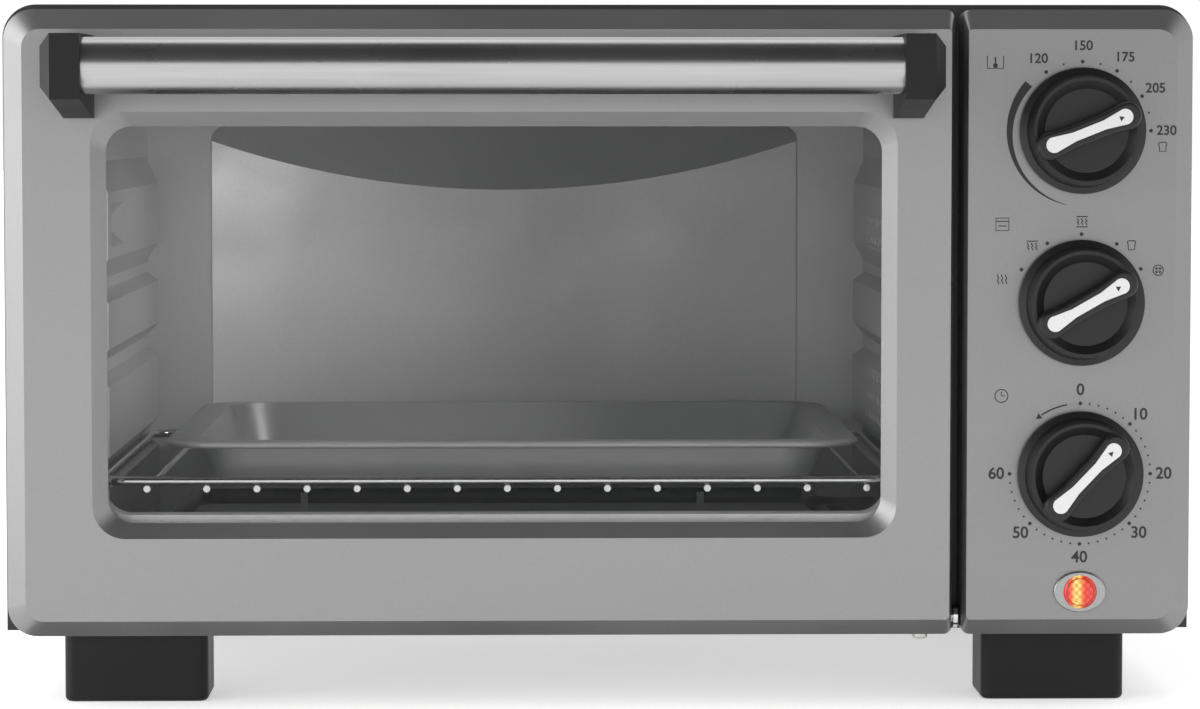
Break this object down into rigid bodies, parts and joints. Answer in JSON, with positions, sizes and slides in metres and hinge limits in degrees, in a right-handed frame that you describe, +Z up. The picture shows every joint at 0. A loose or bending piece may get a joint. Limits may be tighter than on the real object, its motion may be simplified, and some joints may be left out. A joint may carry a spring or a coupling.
{
  "type": "countertop convection oven",
  "caption": "Countertop convection oven with a drop-down glass door, tube handle, wire rack, baking tray, crumb tray, side fan and three control knobs.",
  "frame": {"origin": "middle of the footprint on the surface the feet stand on", "axes": "+X to the right seen from the front, +Y from front to back, +Z up"},
  "size_m": [0.445, 0.377, 0.2627],
  "materials": {
    "black_enamel": "satin black",
    "door_silver": "satin silver",
    "panel_silver": "satin silver",
    "galvanised": "zinc sheet",
    "aluminised": "aluminised steel",
    "black_plastic": "fine matt",
    "knob_black": "fine matt",
    "inlay_silver": "satin",
    "stainless": "brushed",
    "chrome_wire": "bright",
    "zinc_screw": "zinc plated",
    "tray_enamel": "grey non-stick",
    "element_steel": "heat darkened",
    "steatite": "matt",
    "clear_glass": "clear",
    "seal_rubber": "matt",
    "lens_red": "clear red",
    "lamp_glow": "glowing",
    "shaft_steel": "ground",
    "lamination_steel": "stacked sheets",
    "coil_tape": "tape",
    "control_body": "moulded",
    "nylon_white": "moulded",
    "bezel_silver": "metallised plastic",
    "wire_insulation": "silicone"
  },
  "bodies": {
    "oven_body": {"outer_housing": "black_enamel", "base_plate": "galvanised", "rear_cover": "black_enamel", "housing_screws": "zinc_screw", "front_frame": "black_enamel", "cavity_left_wall": "aluminised", "cavity_right_wall": "aluminised", "cavity_rear_wall": "aluminised", "cavity_roof": "aluminised", "cavity_floor": "aluminised", "heat_shield": "galvanised", "upper_heating_element": "element_steel", "lower_heating_element": "element_steel", "element_insulators": "steatite", "element_supports": "aluminised", "fan_shroud": "galvanised", "motor_bridges": "galvanised", "motor_laminations": "lamination_steel", "motor_coil": "coil_tape", "hinge_brackets": "chrome_wire", "control_panel": "panel_silver", "control_chassis": "galvanised", "bushing_nuts": "zinc_screw", "thermostat": "control_body", "function_switch": "control_body", "timer_unit": "galvanised", "timer_bell": "chrome_wire", "pilot_bezel": "bezel_silver", "pilot_lens": "lens_red", "neon_lamp": "lamp_glow", "feet": "black_plastic", "foot_screws": "zinc_screw", "cord_gland": "black_plastic", "terminal_block": "nylon_white", "wiring": "wire_insulation"},
    "door": {"door_outer_frame": "door_silver", "door_liner": "aluminised", "door_glass": "clear_glass", "glass_gasket": "seal_rubber", "hinge_pins": "shaft_steel", "door_screws": "zinc_screw", "handle_bar": "stainless", "handle_bracket_left": "black_plastic", "handle_bracket_right": "black_plastic", "handle_screws": "zinc_screw"},
    "rack": {"wire_rack": "chrome_wire"},
    "tray": {"baking_tray": "tray_enamel"},
    "crumb_drawer": {"crumb_tray": "aluminised"},
    "fan": {"fan_impeller": "aluminised", "fan_rotor": "lamination_steel", "fan_shaft": "shaft_steel"},
    "temperature_control": {"temperature_knob": "knob_black", "temperature_pointer": "inlay_silver", "temperature_shaft": "shaft_steel"},
    "function_control": {"function_knob": "knob_black", "function_pointer": "inlay_silver", "function_shaft": "shaft_steel"},
    "timer_control": {"timer_knob": "knob_black", "timer_pointer": "inlay_silver", "timer_shaft": "shaft_steel"}
  },
  "joints": [
    {"name": "door_hinge", "type": "hinge", "parent": "oven_body", "child": "door", "pos_m": [0, -0.127, 0.034], "axis": [1, 0, 0], "range_deg": [0, 80], "stiffness_Nm_per_rad": 0.5, "springref_deg": -34.38},
    {"name": "rack_slide", "type": "slide", "parent": "oven_body", "child": "rack", "axis": [0, -1, 0], "range_m": [0, 0.0701]},
    {"name": "tray_lift", "type": "slide", "parent": "rack", "child": "tray", "axis": [0, 0, 1], "range_m": [0, 0.06]},
    {"name": "crumb_tray_slide", "type": "slide", "parent": "oven_body", "child": "crumb_drawer", "axis": [0, 1, 0], "range_m": [0, 0.2]},
    {"name": "fan_spin", "type": "hinge", "parent": "oven_body", "child": "fan", "pos_m": [0.13, 0.0115, 0.138], "axis": [1, 0, 0], "continuous": true},
    {"name": "temperature_knob_turn", "type": "hinge", "parent": "oven_body", "child": "temperature_control", "pos_m": [0.1784, -0.1385, 0.2157], "axis": [0, 1, 0], "range_deg": [-236, 21.7]},
    {"name": "function_knob_turn", "type": "hinge", "parent": "oven_body", "child": "function_control", "pos_m": [0.1784, -0.1385, 0.15205], "axis": [0, 1, 0], "range_deg": [-121.3, 0]},
    {"name": "timer_knob_turn", "type": "hinge", "parent": "oven_body", "child": "timer_control", "pos_m": [0.1784, -0.1385, 0.0884], "axis": [0, 1, 0], "range_deg": [-88.7, 226.3]}
  ],
  "couplings": [
    {"joint": "rack_slide", "follows": "door_hinge", "m_per_rad": 0.050134}
  ]
}
